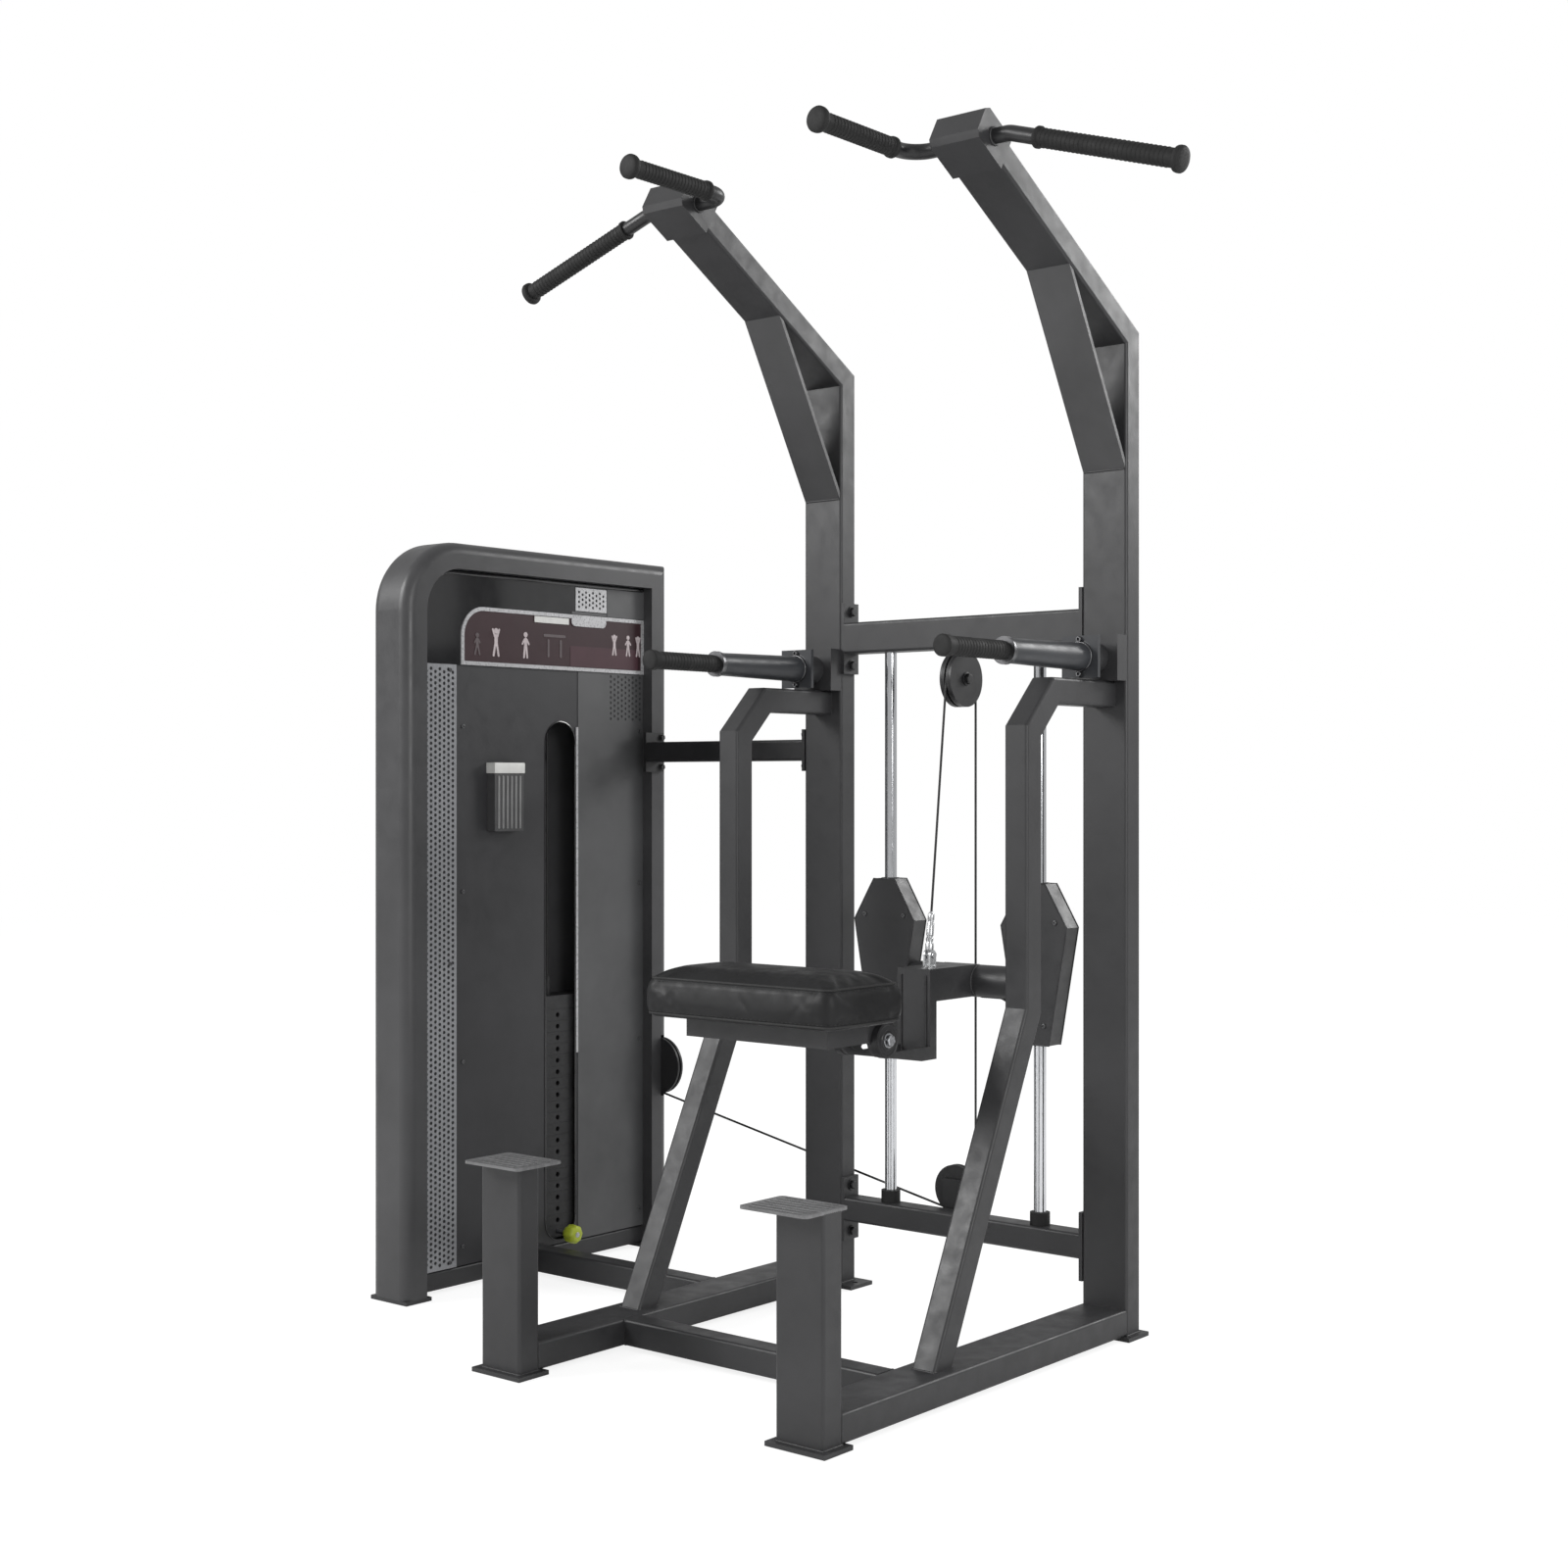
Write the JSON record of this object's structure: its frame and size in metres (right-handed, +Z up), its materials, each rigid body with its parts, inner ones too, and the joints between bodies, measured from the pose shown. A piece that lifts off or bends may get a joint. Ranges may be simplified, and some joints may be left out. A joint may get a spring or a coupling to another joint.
{
  "type": "assisted chin-up dip machine",
  "caption": "Floor-standing machine for counterweighted chin-ups and dips, with a side weight tower, a lifting knee platform, pull-up and dip handles and step posts.",
  "frame": {"origin": "on the floor, midway between the rear floor anchor holes and in the plane of the two uprights", "axes": "+X to the right of a user who stands in the machine facing the weight carriage, +Y to the back of the machine, +Z up; the weight tower is on the -X side"},
  "size_m": [1.7685, 1.0655, 2.2521],
  "materials": {
    "frame_black": "satin powder coat",
    "pale_plate": "satin",
    "zinc_steel": "satin",
    "rubber_black": "matt",
    "dip_grey": "satin",
    "chrome_rod": "polished",
    "pulley_black": "satin",
    "cable_sheath": "satin",
    "cover_plastic": "gloss",
    "bearing_steel": "satin",
    "pivot_black": "satin",
    "tie_black": "satin powder coat",
    "pad_vinyl": "soft grain",
    "panel_grey": "satin",
    "strip_silver": "satin",
    "placard_print": "gloss",
    "holder_plastic": "matt",
    "weight_iron": "matt",
    "knob_yellow": "gloss"
  },
  "bodies": {
    "frame": {"accessory_tray": "holder_plastic", "arm_braces": "pale_plate", "arm_heads": "frame_black", "carriage_cable": "cable_sheath", "dip_brackets": "frame_black", "dip_grips": "rubber_black", "dip_handles": "dip_grey", "dip_rings": "zinc_steel", "floor_plates": "frame_black", "frame_bolts": "zinc_steel", "front_cross_tube": "frame_black", "front_supports": "frame_black", "guide_rods": "chrome_rod", "inner_panel": "panel_grey", "left_base_rail": "frame_black", "left_upright": "frame_black", "lower_crossbar": "frame_black", "lower_pulley_bracket": "zinc_steel", "main_cable": "cable_sheath", "neutral_bars": "frame_black", "outer_panel": "panel_grey", "perforated_strip": "strip_silver", "placard": "placard_print", "pullup_arms": "frame_black", "pullup_end_caps": "rubber_black", "pullup_grips": "rubber_black", "right_base_rail": "frame_black", "right_upright": "frame_black", "rubber_stops": "rubber_black", "stack_cable": "cable_sheath", "stack_guide_rods": "chrome_rod", "step_columns": "frame_black", "step_plates": "pale_plate", "struts": "frame_black", "top_cover": "cover_plastic", "top_crossbar": "frame_black", "tower_arch": "frame_black", "tower_base": "frame_black", "tower_hangers": "zinc_steel", "tower_link_tube": "frame_black", "upper_pulley_bracket": "zinc_steel", "upper_tie_tube": "tie_black", "wide_bars": "frame_black"},
    "stack": {"weight_plates": "weight_iron", "head_plate": "weight_iron", "selector_rod": "chrome_rod"},
    "selector": {"selector_pin": "chrome_rod", "selector_knob": "knob_yellow"},
    "carriage": {"carriage_covers": "cover_plastic", "bearing_tubes": "bearing_steel", "carriage_frame": "frame_black", "cable_anchor": "zinc_steel", "hinge_pin": "pivot_black"},
    "platform": {"platform_tray": "tie_black", "knee_pad": "pad_vinyl"},
    "upper_wheel": {"upper_pulley": "pulley_black"},
    "lower_wheel": {"lower_pulley": "pulley_black"},
    "side_wheel": {"tower_side_pulley": "pulley_black"},
    "rear_top_wheel": {"rear_top_pulley": "pulley_black"},
    "front_top_wheel": {"front_top_pulley": "pulley_black"}
  },
  "joints": [
    {"name": "stack_lift", "type": "slide", "parent": "frame", "child": "stack", "axis": [0, 0, 1], "range_m": [0, 0.3], "deforming": ["stack_cable"]},
    {"name": "carriage_slide", "type": "slide", "parent": "frame", "child": "carriage", "axis": [0, 0, -1], "range_m": [0, 0.3], "deforming": ["carriage_cable"]},
    {"name": "platform_fold", "type": "hinge", "parent": "carriage", "child": "platform", "pos_m": [0, -0.33, 0.578], "axis": [-1, 0, 0], "range_deg": [0, 75]},
    {"name": "selector_pin_slide", "type": "slide", "parent": "stack", "child": "selector", "axis": [1, 0, 0], "range_m": [0, 0.09]},
    {"name": "upper_pulley_spin", "type": "hinge", "parent": "frame", "child": "upper_wheel", "pos_m": [0, -0.008, 1.282], "axis": [1, 0, 0], "continuous": true},
    {"name": "lower_pulley_spin", "type": "hinge", "parent": "frame", "child": "lower_wheel", "pos_m": [-0.046, 0.044, 0.228], "axis": [0, 1, 0], "continuous": true},
    {"name": "side_pulley_spin", "type": "hinge", "parent": "frame", "child": "side_wheel", "pos_m": [-0.8865, 0.044, 0.416], "axis": [0, 1, 0], "continuous": true},
    {"name": "rear_top_pulley_spin", "type": "hinge", "parent": "frame", "child": "rear_top_wheel", "pos_m": [-0.9465, -0.006, 1.458], "axis": [1, 0, 0], "continuous": true},
    {"name": "front_top_pulley_spin", "type": "hinge", "parent": "frame", "child": "front_top_wheel", "pos_m": [-0.9465, -0.21, 1.458], "axis": [1, 0, 0], "continuous": true}
  ],
  "couplings": [
    {"joint": "carriage_slide", "follows": "stack_lift", "ratio": 1},
    {"joint": "upper_pulley_spin", "follows": "stack_lift", "rad_per_m": 19.231},
    {"joint": "lower_pulley_spin", "follows": "stack_lift", "rad_per_m": -21.739},
    {"joint": "side_pulley_spin", "follows": "stack_lift", "rad_per_m": -16.667},
    {"joint": "rear_top_pulley_spin", "follows": "stack_lift", "rad_per_m": -20},
    {"joint": "front_top_pulley_spin", "follows": "stack_lift", "rad_per_m": -20}
  ]
}
